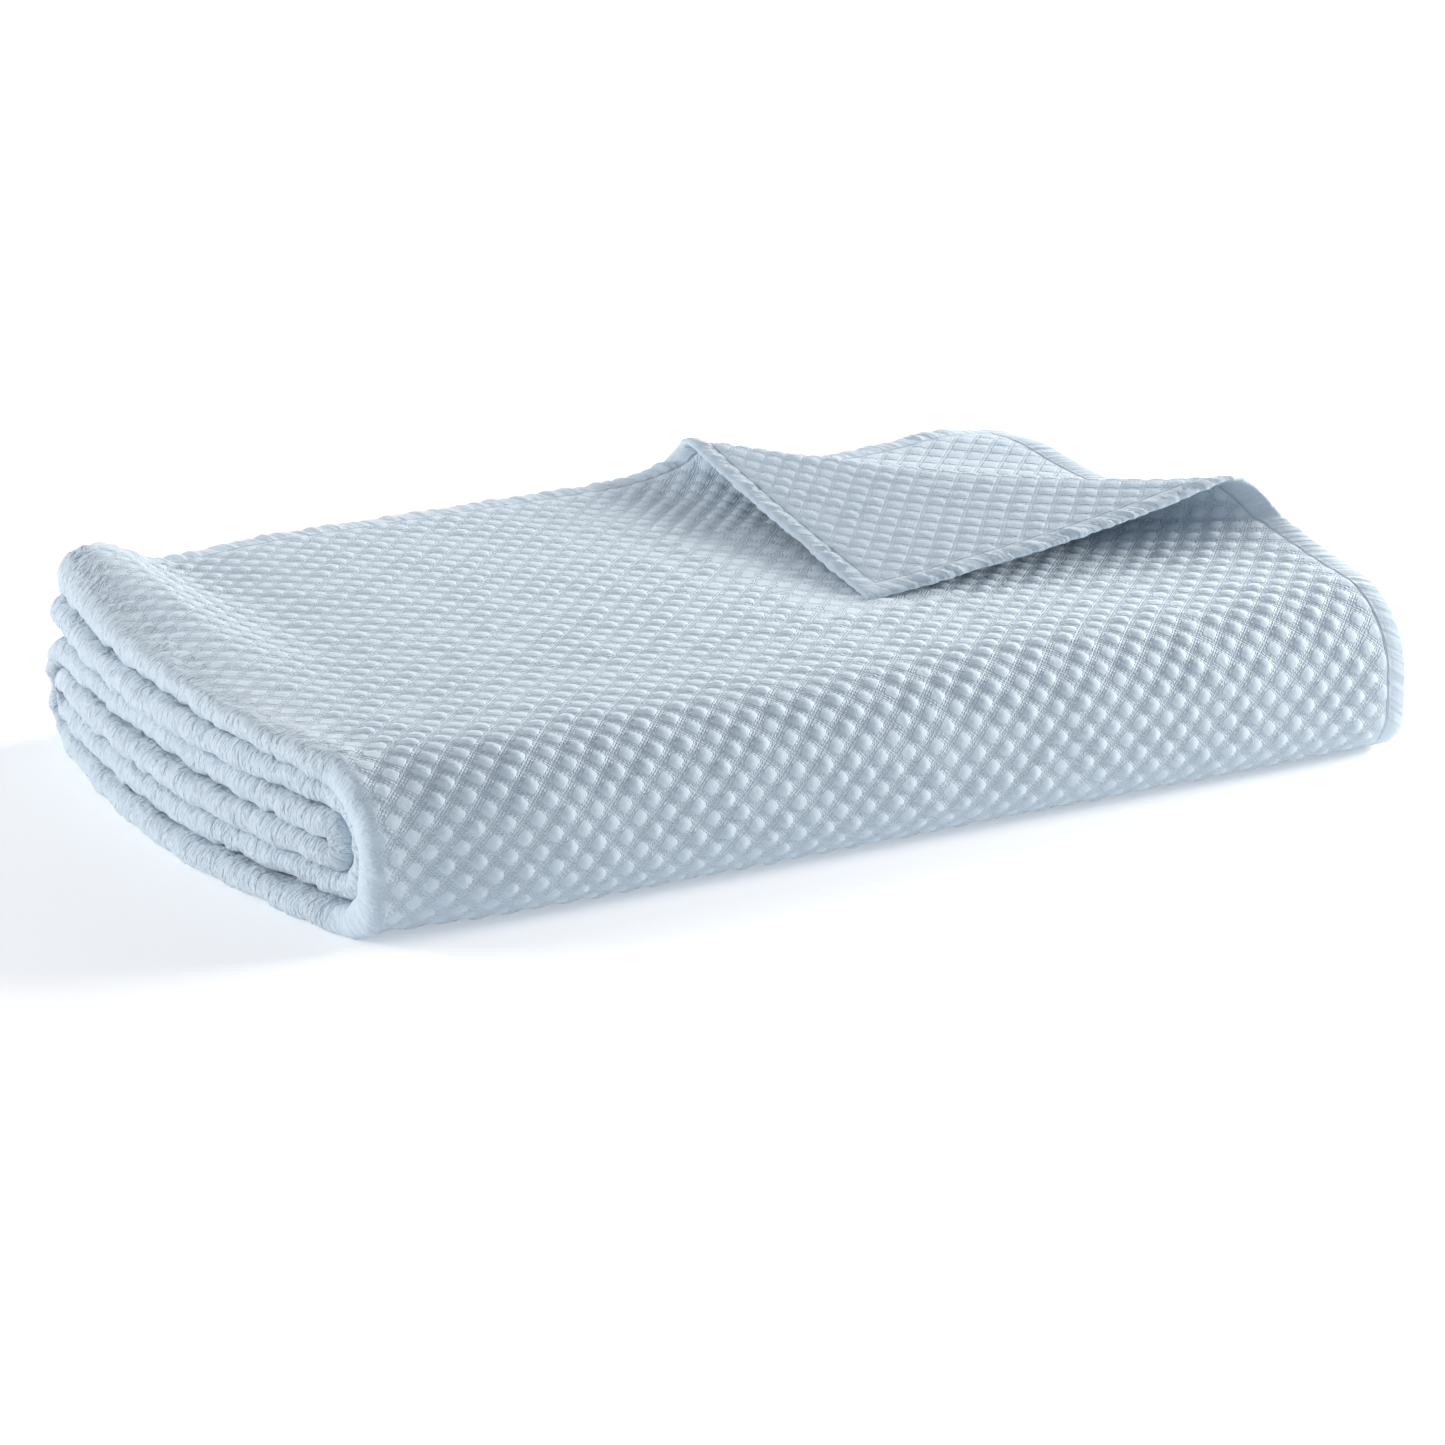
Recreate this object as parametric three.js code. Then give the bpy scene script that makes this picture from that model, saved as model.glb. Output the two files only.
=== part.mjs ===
// A quilted cotton coverlet, folded into a long low bundle with one corner of its top layer
// turned back. Millimetres, +Z up. X runs along the bundle's long front, Y goes to its back,
// and the origin is at the middle of its underside.
//
// The whole coverlet is one sheet. It is folded in quarters across its width, so that every
// strip of the bundle has four layers, and the four-layer strip is then folded back and
// forth through its depth, so that the bundle has six strips. Each point of the sheet has
// two cloth coordinates: u runs across the width and v along the depth.

import * as THREE from 'three';

// Driving dimensions, in millimetres and degrees.
const LENGTH = 585;           // the bundle along X, before its left end swells
const CLOTH = 2.6;            // the quilted cloth between two seams
const HEM_EXTRA = 0.3;        // how much thicker the turned hem is
const HEM_WIDTH = 12;
const LAYER_PITCH = 3.4;      // from one layer to the next in a strip
const STRIP_PITCH = 14.3;     // from one four-layer strip to the next
const FRONT_Y = -160;         // where the flat runs turn up or down at the front
const REAR_Y = 155;           // and at the back
const TOP_REAR_Y = 187;       // rear hem of the top strip
const UNDER_REAR_Y = 182;     // rear hem of the strip below it

// The turned-back corner of the top layer.
const FOLD_NORMAL = [0.70, 0.714];   // across the fold, in plan, towards the corner
const FOLD_OFFSET = 206;             // from the fold to the corner, along that normal
const FOLD_SKEW = 0.30;              // how much nearer the corner the fold's rear half runs
const FOLD_SKEW_WIDTH = 50;
const RISE_LENGTH = 45;              // where the cloth starts to lift before the fold
const RISE_ANGLE = 18;
const ROLL_RADII = [9, 14];          // of the loose roll, at the rear hem and at the right hem
const ROLL_HALF_SPAN = 200;
const LAY_BACK_ANGLE = 8.6;          // the flap's slope down to its tip

// The bared corner of the layer under it curls up this far, over this distance.
const CORNER_CURL = 9;
const CURL_REACH = 125;

// Unevenness of the bundle.
const FRONT_SQUARE = 0.12;    // the front roll is squarer near the floor
const FRONT_PUSH = 0.10;      // and stands further out there
const LEFT_BOW = 18;          // the left end bows out in plan
const LEFT_REACH = 190;
const BOW_FALL = 0.7;         // how much of that bow is lost towards its two corners
const CORNER_TUCK = 9;        // those corners are drawn in this far
const TUCK_X = [-305, -190];  // from full to none between these
const TUCK_Y = [60, 205];     // and from none to full, to the front and to the back

// Humps and dips of the top, each a bell in plan.
const HUMPS = [
  { x: -318, y: 190, wide: 60, deep: 170, lift: 17 },
  { x: -214, y: 200, wide: 55, deep: 150, lift: -5 },
  { x: -100, y: 150, wide: 90, deep: 140, lift: 5 },
  { x: 60, y: 100, wide: 120, deep: 150, lift: 3 },
];

// Where the mesh has its columns, as X, and how many cells a strip's flat run has. Stacked
// layers and strips share these lines, so that they bend alike.
const RUN_COLUMNS = [192, 96, 0, -90, -165, -230];
const RUN_CELLS = 5;
const NOSE_CELLS = 4;
const SMALL_FOLD_CELLS = 3;
const FLAP_SPLIT = 5;         // cells at the roll of the turned corner are split this finely
const ROLL_LENGTH = 48;

// Levels of the six strips' middles, from the floor up.
const HALF_STRIP = 1.5 * LAYER_PITCH + CLOTH / 2;
const level = (strip) => HALF_STRIP + strip * STRIP_PITCH;
const BOTTOM = 0, SECOND = 1, THIRD = 2, FOURTH = 3, FIFTH = 4, TOP = 5;
const TOP_FACE = level(TOP) + HALF_STRIP;
const MIDDLE_Z = (level(TOP) + level(BOTTOM)) / 2;

const bend = (from, to) => Math.PI * Math.abs(level(to) - level(from)) / 2;
const LEFT = Math.PI, RIGHT = -Math.PI;

// The strip's way through the depth, from the top strip's rear hem: each stretch has its
// length, its turn, how far its left end stands out, and its number of mesh cells.
const DEPTH_PATH = [
  { stretch: 'top strip', length: TOP_REAR_Y - FRONT_Y, turn: 0, left: 2, cells: RUN_CELLS },
  { stretch: 'outer front wrap', length: bend(TOP, BOTTOM), turn: LEFT, left: 0, cells: 7 },
  { stretch: 'bottom strip', length: REAR_Y - FRONT_Y, turn: 0, left: 8, cells: RUN_CELLS },
  { stretch: 'outer rear loop', length: bend(BOTTOM, FOURTH), turn: LEFT, left: 4, cells: 5 },
  { stretch: 'fourth strip', length: REAR_Y - FRONT_Y, turn: 0, left: -3, cells: RUN_CELLS },
  { stretch: 'inner front fold', length: bend(FOURTH, THIRD), turn: LEFT, left: -4, cells: 4 },
  { stretch: 'third strip', length: REAR_Y - FRONT_Y, turn: 0, left: 3, cells: RUN_CELLS },
  { stretch: 'inner rear fold', length: bend(THIRD, SECOND), turn: RIGHT, left: -7, cells: 4 },
  { stretch: 'second strip', length: REAR_Y - FRONT_Y, turn: 0, left: 1, cells: RUN_CELLS },
  { stretch: 'inner front wrap', length: bend(SECOND, FIFTH), turn: RIGHT, left: -8, cells: 5 },
  { stretch: 'fifth strip', length: UNDER_REAR_Y - FRONT_Y, turn: 0, left: 4, cells: RUN_CELLS },
];

// The cloth's way across the width, from the top layer's right hem: two noses at the left
// end, one inside the other, and one fold at the right end. A flat layer ends at its noseX.
const NOSE_X = -LENGTH / 2 + HALF_STRIP;
const INNER_NOSE_X = NOSE_X + 2;
const HEM_X = LENGTH / 2;
const RIGHT_FOLD_X = HEM_X - 3;
const SECOND_HEM_X = HEM_X - 2;
const OUTER_NOSE = Math.PI * 1.5 * LAYER_PITCH;
const INNER_NOSE = Math.PI * 0.5 * LAYER_PITCH;
const WIDTH_PATH = [
  { stretch: 'first layer', length: HEM_X - NOSE_X, turn: 0, noseX: NOSE_X },
  { stretch: 'outer nose', length: OUTER_NOSE, turn: LEFT },
  { stretch: 'fourth layer', length: RIGHT_FOLD_X - NOSE_X, turn: 0, noseX: NOSE_X },
  { stretch: 'right fold', length: INNER_NOSE, turn: LEFT },
  { stretch: 'third layer', length: RIGHT_FOLD_X - INNER_NOSE_X, turn: 0, noseX: INNER_NOSE_X },
  { stretch: 'inner nose', length: INNER_NOSE, turn: RIGHT },
  { stretch: 'second layer', length: SECOND_HEM_X - INNER_NOSE_X, turn: 0, noseX: INNER_NOSE_X },
];

const clamp = (value, low, high) => Math.min(Math.max(value, low), high);

function smoothStep(low, high, value) {
  const t = clamp((value - low) / (high - low), 0, 1);
  return t * t * (3 - 2 * t);
}

// Starts of a path's stretches, with the path's whole length last.
function marks(path) {
  const found = [0];
  for (const row of path) found.push(found[found.length - 1] + row.length);
  return found;
}

// A point at a distance along a path of straight and round stretches, and its heading.
function walk(distance, path, heading) {
  let along = 0, across = 0, start = 0, turned = heading, facing = heading;
  for (const { length, turn } of path) {
    const s = clamp(distance - start, 0, length);
    if (turn === 0) {
      along += s * Math.cos(turned);
      across += s * Math.sin(turned);
    } else {
      const radius = length / turn;
      along += radius * (Math.sin(turned + s / radius) - Math.sin(turned));
      across -= radius * (Math.cos(turned + s / radius) - Math.cos(turned));
      facing += s / radius;
    }
    start += length;
    turned += turn;
  }
  return { along, across, facing };
}

const U_MARKS = marks(WIDTH_PATH);
const V_MARKS = marks(DEPTH_PATH);
const U_END = U_MARKS[U_MARKS.length - 1];
const V_END = V_MARKS[V_MARKS.length - 1];
const FIRST_LAYER_END = U_MARKS[1];
const SECOND_LAYER_START = U_MARKS[6];
const TOP_STRIP_END = V_MARKS[1];

// Distance from the middle surface to the face (side 1) or the reverse (side -1), where the
// turned hem makes the cloth a little thicker.
function offsetOf(u, v, side) {
  if (side > 0) return CLOTH / 2;
  const edge = Math.min(u, U_END - u, v, V_END - v);
  return -CLOTH / 2 - HEM_EXTRA * (1 - smoothStep(HEM_WIDTH - 2, HEM_WIDTH, edge));
}

// How far a point of the top layer lies beyond the fold line, and where along it.
function acrossFold(x, y) {
  const size = Math.hypot(...FOLD_NORMAL);
  const [nx, ny] = [FOLD_NORMAL[0] / size, FOLD_NORMAL[1] / size];
  const fromHem = HEM_X - x, fromRear = TOP_REAR_Y - y;
  const t = fromRear * nx - fromHem * ny;
  const bendIn = FOLD_SKEW * (Math.hypot(t, FOLD_SKEW_WIDTH) - t) / 2;
  return { nx, ny, t, s: FOLD_OFFSET - bendIn - (fromHem * nx + fromRear * ny) };
}

// Rolls the corner of the top layer over the fold: the cloth lifts, turns over on a loose
// roll and slopes back down. side is the distance from the cloth's middle surface.
function turnCorner(x, y, side) {
  const { nx, ny, t, s } = acrossFold(x, y);
  if (s <= -RISE_LENGTH) return [x, y, side];
  const rise = THREE.MathUtils.degToRad(RISE_ANGLE);
  const turn = Math.PI + THREE.MathUtils.degToRad(LAY_BACK_ANGLE) - rise;
  const share = clamp(0.5 + t / (2 * ROLL_HALF_SPAN), 0, 1);
  const radius = THREE.MathUtils.lerp(ROLL_RADII[0], ROLL_RADII[1], share);
  const path = [
    { length: RISE_LENGTH, turn: rise },
    { length: radius * turn, turn },
    { length: FOLD_OFFSET, turn: 0 },
  ];
  const { along, across, facing } = walk(s + RISE_LENGTH, path, 0);
  const forward = along - RISE_LENGTH - side * Math.sin(facing);
  return [x + nx * (forward - s), y + ny * (forward - s), across + side * Math.cos(facing)];
}

// How far the left end stands out at v: the path's own values, eased from one stretch's
// middle to the next.
function leftStand(v) {
  const middles = DEPTH_PATH.map((row, k) => V_MARKS[k] + row.length / 2);
  if (v <= middles[0]) return DEPTH_PATH[0].left;
  for (let k = 1; k < middles.length; k += 1) {
    if (v < middles[k]) {
      const share = smoothStep(middles[k - 1], middles[k], v);
      return THREE.MathUtils.lerp(DEPTH_PATH[k - 1].left, DEPTH_PATH[k].left, share);
    }
  }
  return DEPTH_PATH[DEPTH_PATH.length - 1].left;
}

// Makes the even bundle as uneven as a soft one: squares and pushes out the front roll near
// the floor, bows out the left end, draws its corners in, and lifts the top in humps. The
// underside stays flat.
function settle(x, y, z, v) {
  if (y < FRONT_Y) {
    const out = FRONT_Y - y, up = z - MIDDLE_Z;
    const angle = Math.atan2(Math.abs(up), out);
    const below = up < 0 ? 1 : 0;
    const scale = 1 + below * FRONT_SQUARE * Math.sin(2 * angle) ** 2;
    const push = 1 + FRONT_PUSH * smoothStep(0, MIDDLE_Z, -up);
    y = FRONT_Y - out * scale * push;
    z = MIDDLE_Z + up * scale;
  }
  const nearLeft = 1 - smoothStep(-LENGTH / 2, LEFT_REACH - LENGTH / 2, x);
  const plan = y / REAR_Y;
  x -= nearLeft * (LEFT_BOW * (1 - BOW_FALL * plan * plan) + leftStand(v));
  const nearCorner = (1 - smoothStep(...TUCK_X, x)) * smoothStep(...TUCK_Y, Math.abs(y));
  y -= Math.sign(y) * CORNER_TUCK * nearCorner;
  let lift = 0;
  for (const hump of HUMPS) {
    lift += hump.lift * Math.exp(-(((x - hump.x) / hump.wide) ** 2) - ((y - hump.y) / hump.deep) ** 2);
  }
  z += lift * clamp(z / TOP_FACE, 0, 1) ** 2;
  return [x, y, z];
}

// The point of the sheet at cloth coordinates u and v: side is 1 on the face, -1 on the
// reverse.
function sheetPoint(u, v, side) {
  const offset = offsetOf(u, v, side);
  const across = walk(u, WIDTH_PATH, Math.PI);
  const depth = walk(v, DEPTH_PATH, Math.PI);
  let x = HEM_X + across.along + Math.sin(across.facing) * offset;
  const layer = 1.5 * LAYER_PITCH + across.across - Math.cos(across.facing) * offset;
  let y = TOP_REAR_Y + depth.along + Math.sin(depth.facing) * layer;
  let z = level(TOP) + depth.across - Math.cos(depth.facing) * layer;
  if (u < FIRST_LAYER_END && v < TOP_STRIP_END) {
    [x, y, z] = turnCorner(x, y, offset);
    z += level(TOP) + 1.5 * LAYER_PITCH;
  }
  if (u > SECOND_LAYER_START) {
    const fromCorner = U_END - u + v;
    z += CORNER_CURL * (1 - smoothStep(0, CURL_REACH, fromCorner));
  }
  return settle(x, y, z, v);
}

// Whether a cell lies mirrored in plan, as one does that is on its way back to the right end
// or to the rear, but not both. It is then split along its other diagonal, so that stacked
// layers have their creases over each other.
function isMirrored(u, v) {
  const runsRight = Math.cos(walk(u, WIDTH_PATH, Math.PI).facing) > 0;
  const runsBack = Math.cos(walk(v, DEPTH_PATH, Math.PI).facing) > 0;
  return runsRight !== runsBack;
}

// Mesh columns: every run across the width has its columns at the same X.
function columns() {
  const found = [0, HEM_WIDTH];
  WIDTH_PATH.forEach((row, k) => {
    const [from, to] = [U_MARKS[k], U_MARKS[k + 1]];
    if (row.turn !== 0) {
      const cells = row.length > INNER_NOSE ? NOSE_CELLS : SMALL_FOLD_CELLS;
      for (let i = 0; i < cells; i += 1) found.push(from + row.length * i / cells);
      return;
    }
    if (k > 0) found.push(from);
    const fromNose = RUN_COLUMNS.map((x) => x - row.noseX);
    if (isMirrored((from + to) / 2, 0)) found.push(...fromNose.map((d) => from + d).reverse());
    else found.push(...fromNose.map((d) => to - d));
  });
  found.push(U_END - HEM_WIDTH, U_END);
  return found;
}

// Mesh rows: even cells in each bend, and the same Y values in every flat run, with the two
// rear hems beyond the rear bends.
function rows() {
  const runCell = (REAR_Y - FRONT_Y) / RUN_CELLS;
  const found = [0, HEM_WIDTH];
  DEPTH_PATH.forEach((row, k) => {
    const [from, to] = [V_MARKS[k], V_MARKS[k + 1]];
    for (let i = 0; i < row.cells; i += 1) {
      if (row.turn !== 0) found.push(from + row.length * i / row.cells);
      else if (k === 0) found.push(to - (RUN_CELLS - i) * runCell);
      else found.push(from + i * runCell);
    }
  });
  found.push(V_MARKS[V_MARKS.length - 2] + RUN_CELLS * runCell, V_END - HEM_WIDTH, V_END);
  return found;
}

// Whether a cell of the top layer reaches into the roll of the turned corner, and is split.
function isSplit(u0, u1, v0, v1) {
  if (u1 > FIRST_LAYER_END || v1 > TOP_STRIP_END) return false;
  const nearest = acrossFold(HEM_X - u0, TOP_REAR_Y - v0).s;
  const farthest = acrossFold(HEM_X - u1, TOP_REAR_Y - v1).s;
  return nearest > -RISE_LENGTH / 2 && farthest < ROLL_LENGTH;
}

// Builds the closed sheet: face and reverse over the same cells, joined round the edge.
function sheetGeometry() {
  const us = columns(), vs = rows();
  const positions = [], triangles = [], known = new Map();
  const vertex = (u, v, side) => {
    const key = `${u.toFixed(4)} ${v.toFixed(4)} ${side}`;
    if (!known.has(key)) {
      known.set(key, positions.length / 3);
      positions.push(...sheetPoint(u, v, side));
    }
    return known.get(key);
  };
  // A triangle of cloth points, on the reverse and, turned over, on the face.
  const cover = (a, b, c) => {
    triangles.push(...[a, b, c].map(([u, v]) => vertex(u, v, -1)));
    triangles.push(...[c, b, a].map(([u, v]) => vertex(u, v, 1)));
  };
  const coverCell = (u0, u1, v0, v1) => {
    const [a, b, c, d] = [[u0, v0], [u0, v1], [u1, v1], [u1, v0]];
    if (isMirrored((u0 + u1) / 2, (v0 + v1) / 2)) {
      cover(a, b, c);
      cover(a, c, d);
    } else {
      cover(a, b, d);
      cover(b, c, d);
    }
  };
  const edge = ([u0, v0], [u1, v1]) => {
    const [a, b] = [vertex(u0, v0, 1), vertex(u1, v1, 1)];
    const [c, d] = [vertex(u0, v0, -1), vertex(u1, v1, -1)];
    triangles.push(a, b, c, c, b, d);
  };
  const split = us.slice(1).map((u1, i) => vs.slice(1).map((v1, j) => isSplit(us[i], u1, vs[j], v1)));
  const isFine = (i, j) => (split[i] && split[i][j]) || false;
  // The points of one side of a cell, its far end left out.
  const sidePoints = ([ua, va], [ub, vb], fine) => {
    const steps = fine ? FLAP_SPLIT : 1;
    const list = [];
    for (let k = 0; k < steps; k += 1) {
      list.push([ua + (ub - ua) * k / steps, va + (vb - va) * k / steps]);
    }
    return list;
  };
  for (let i = 0; i + 1 < us.length; i += 1) {
    for (let j = 0; j + 1 < vs.length; j += 1) {
      const [u0, u1, v0, v1] = [us[i], us[i + 1], vs[j], vs[j + 1]];
      const fine = isFine(i, j);
      const ring = [
        ...sidePoints([u0, v0], [u0, v1], fine || isFine(i - 1, j)),
        ...sidePoints([u0, v1], [u1, v1], fine || isFine(i, j + 1)),
        ...sidePoints([u1, v1], [u1, v0], fine || isFine(i + 1, j)),
        ...sidePoints([u1, v0], [u0, v0], fine || isFine(i, j - 1)),
      ];
      if (fine) {
        for (let a = 0; a < FLAP_SPLIT; a += 1) {
          for (let b = 0; b < FLAP_SPLIT; b += 1) {
            const [p, q] = [u0 + (u1 - u0) * a / FLAP_SPLIT, u0 + (u1 - u0) * (a + 1) / FLAP_SPLIT];
            const [r, s] = [v0 + (v1 - v0) * b / FLAP_SPLIT, v0 + (v1 - v0) * (b + 1) / FLAP_SPLIT];
            coverCell(p, q, r, s);
          }
        }
      } else if (ring.length === 4) {
        coverCell(u0, u1, v0, v1);
      } else {
        const middle = [(u0 + u1) / 2, (v0 + v1) / 2];
        ring.forEach((point, k) => cover(middle, point, ring[(k + 1) % ring.length]));
      }
      const last = ring.length;
      ring.forEach((point, k) => {
        const next = ring[(k + 1) % last];
        const onU = (point[0] === next[0]) && (point[0] === 0 || point[0] === U_END);
        const onV = (point[1] === next[1]) && (point[1] === 0 || point[1] === V_END);
        if (onU || onV) edge(point, next);
      });
    }
  }
  const geometry = new THREE.BufferGeometry();
  geometry.setAttribute('position', new THREE.Float32BufferAttribute(positions, 3));
  geometry.setIndex(triangles);
  return geometry;
}

// Cotton, pale powder blue, matt.
const cloth = new THREE.MeshStandardMaterial({ color: 0xb9c9d6, roughness: 0.9, metalness: 0 });

// The underside's middle comes to the origin.
function coverlet() {
  const geometry = sheetGeometry();
  geometry.computeBoundingBox();
  const { min, max } = geometry.boundingBox;
  geometry.translate(-(min.x + max.x) / 2, -(min.y + max.y) / 2, 0);
  geometry.computeVertexNormals();
  const mesh = new THREE.Mesh(geometry, cloth);
  mesh.name = 'coverlet';
  return mesh;
}

const group = new THREE.Group();
group.add(coverlet());

export default group;
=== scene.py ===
# %% [markdown]
# # A folded quilted coverlet
#
# This notebook dresses one object: a pale blue cotton coverlet, quilted in small diamonds,
# folded into a long low bundle with one corner of its top layer turned back. A plain solid
# of the folded cloth already exists, at its real size. Here the same fold is worked out once
# more, far more finely, so that the cloth can have its puffed diamonds, its stitched hem and
# its puckers as real shape, and a cotton material follows the cloth through every fold.

import bpy
import numpy as np
from mathutils import Matrix, Vector


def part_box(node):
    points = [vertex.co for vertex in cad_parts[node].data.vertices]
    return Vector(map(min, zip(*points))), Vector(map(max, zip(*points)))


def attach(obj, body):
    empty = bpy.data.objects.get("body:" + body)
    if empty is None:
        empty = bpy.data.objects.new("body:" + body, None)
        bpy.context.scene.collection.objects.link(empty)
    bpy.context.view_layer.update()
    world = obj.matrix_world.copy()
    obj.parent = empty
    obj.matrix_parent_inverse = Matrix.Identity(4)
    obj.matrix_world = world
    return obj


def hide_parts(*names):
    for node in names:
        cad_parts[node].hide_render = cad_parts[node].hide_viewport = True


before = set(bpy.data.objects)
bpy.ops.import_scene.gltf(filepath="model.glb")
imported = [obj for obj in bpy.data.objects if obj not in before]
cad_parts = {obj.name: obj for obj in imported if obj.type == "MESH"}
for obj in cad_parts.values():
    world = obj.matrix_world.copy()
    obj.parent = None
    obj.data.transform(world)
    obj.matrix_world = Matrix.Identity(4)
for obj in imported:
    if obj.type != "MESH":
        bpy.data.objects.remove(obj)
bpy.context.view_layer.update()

# %% [markdown]
# ## The cloth's own sizes
#
# A coverlet is one sheet. Its folded shape is easiest to describe from the cloth's side: a
# point of the sheet has a place u across the width and v down the length, both in
# millimetres of cloth, and folding is a function from (u, v) to space. The width is folded
# in quarters first, which makes a strip of four layers. The strip is then folded back and
# forth through the bundle's depth, six times over.

# %% Sizes of the folded cloth, in millimetres
MM = 0.001
LENGTH = 585.0            # the bundle along X, before its left end swells
CLOTH = 2.6               # the cloth between two seams
HEM = 12.0                # width of the turned hem
LAYER_PITCH = 3.4         # from one layer to the next
STRIP_PITCH = 14.3        # from one four-layer strip to the next
FRONT_Y, REAR_Y = -160.0, 155.0        # where the flat runs turn up or down
TOP_REAR_Y, UNDER_REAR_Y = 187.0, 182.0    # rear hems of the two upper strips
HALF_STRIP = 1.5 * LAYER_PITCH + CLOTH / 2
LEFT, RIGHT = np.pi, -np.pi

BOTTOM, SECOND, THIRD, FOURTH, FIFTH, TOP = (HALF_STRIP + k * STRIP_PITCH for k in range(6))
TOP_FACE = TOP + HALF_STRIP
MIDDLE_Z = (TOP + BOTTOM) / 2


def bend(low, high):
    """Length of a half circle that joins two levels: pi times half their distance."""
    return np.pi * abs(high - low) / 2


RUN = REAR_Y - FRONT_Y
# Each row of the depth is a stretch's length, its turn and how far its left end stands out.
DEPTH = [
    (TOP_REAR_Y - FRONT_Y, 0, -5),         # top strip, from its rear hem
    (bend(TOP, BOTTOM), LEFT, 0),          # outer front wrap
    (RUN, 0, 8),                           # bottom strip
    (bend(BOTTOM, FOURTH), LEFT, 3),       # outer rear loop
    (RUN, 0, -3),                          # fourth strip
    (bend(FOURTH, THIRD), LEFT, -4),       # inner front fold
    (RUN, 0, 4),                           # third strip
    (bend(THIRD, SECOND), RIGHT, 3),       # inner rear fold
    (RUN, 0, 3),                           # second strip
    (bend(SECOND, FIFTH), RIGHT, -8),      # inner front wrap
    (UNDER_REAR_Y - FRONT_Y, 0, 1),        # fifth strip, to its rear hem
]
HEM_X = LENGTH / 2
NOSE_X = -LENGTH / 2 + HALF_STRIP
INNER_NOSE_X = NOSE_X + 2
OUTER_NOSE = np.pi * 1.5 * LAYER_PITCH
INNER_NOSE = np.pi * 0.5 * LAYER_PITCH
WIDTH = [
    (HEM_X - NOSE_X, 0),                   # first layer, from the right hem
    (OUTER_NOSE, LEFT),
    (HEM_X - 3 - NOSE_X, 0),               # fourth layer
    (INNER_NOSE, LEFT),                    # right fold
    (HEM_X - 3 - INNER_NOSE_X, 0),         # third layer
    (INNER_NOSE, RIGHT),
    (HEM_X - 2 - INNER_NOSE_X, 0),         # second layer, to its hem
]
U = np.concatenate([[0], np.cumsum([row[0] for row in WIDTH])])
V = np.concatenate([[0], np.cumsum([row[0] for row in DEPTH])])
print(f"flat sheet: {U[-1]:.0f} x {V[-1]:.0f} mm")

# %% [markdown]
# ## Folding as a walk
#
# The section of folded cloth is a walk: straight for a while, then round a bend, then
# straight again. Adding up straight pieces and arcs gives the place and the heading at any
# distance, for a whole array of distances at once. The cloth's two faces are found by
# stepping off that line at a right angle, so the thickness stays true round every bend.

# %% The walk, and an even blend between two values
def smooth_step(low, high, value):
    """0 below low, 1 above high, and 3t^2 - 2t^3 between, t being the share of the way."""
    t = np.clip((value - low) / (high - low), 0, 1)
    return t * t * (3 - 2 * t)


def walk(distance, path, heading):
    """Place and heading at a distance along a path of (length, turn) rows.

    A straight row adds its distance times the heading's cosine and sine. A round row of
    radius r = length / turn adds r times the change of the heading's sine along, and minus
    r times the change of its cosine across.
    """
    along, across, facing = 0.0, 0.0, heading + 0 * distance
    start, turned = 0.0, heading
    for row in path:
        length, turn = row[0], row[1]
        s = np.clip(distance - start, 0, length)
        if turn == 0:
            along = along + s * np.cos(turned)
            across = across + s * np.sin(turned)
        else:
            radius = length / turn
            along = along + radius * (np.sin(turned + s / radius) - np.sin(turned))
            across = across - radius * (np.cos(turned + s / radius) - np.cos(turned))
            facing = facing + s / radius
        start = start + length
        turned = turned + turn
    return along, across, facing


half_turn = walk(np.array([0.0, 50.0]), [(50.0, LEFT)], 0.0)
print("a half circle 50 long ends", round(float(half_turn[1][1]), 1), "across")

# %% [markdown]
# ## The turned-back corner
#
# The rear right corner of the top layer is lifted, rolled over loosely and laid back. It is
# the same walk again, taken at a right angle to the fold line: a gentle rise, most of a
# half circle, and a straight stretch that slopes down until the tip nearly lies on the top.

# %% Rolling the corner over its fold
FOLD_NORMAL = np.array([0.70, 0.714]) / np.hypot(0.70, 0.714)
FOLD_OFFSET = 204.0                     # from the fold to the corner, along that normal
FOLD_SKEW, FOLD_SKEW_WIDTH = 0.30, 50.0
RISE_LENGTH, RISE_ANGLE = 45.0, np.radians(18)
ROLL_RADII = (8.0, 12.5)                # at the rear hem and at the right hem
ROLL_HALF_SPAN = 200.0
LAY_BACK = np.radians(8.6)
TIP_BACK, TIP_ALONG = 13.0, 8.0         # drift of the tip, across the fold and along it


def across_fold(x, y):
    """Distance s beyond the fold line and t along it, from the distances to the two hems.

    Where t is negative the line leans towards the corner, by a share of (root(t^2 + w^2) - t).
    """
    nx, ny = FOLD_NORMAL
    from_hem, from_rear = HEM_X - x, TOP_REAR_Y - y
    t = from_rear * nx - from_hem * ny
    lean = FOLD_SKEW * (np.hypot(t, FOLD_SKEW_WIDTH) - t) / 2
    return FOLD_OFFSET - lean - (from_hem * nx + from_rear * ny), t


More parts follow.
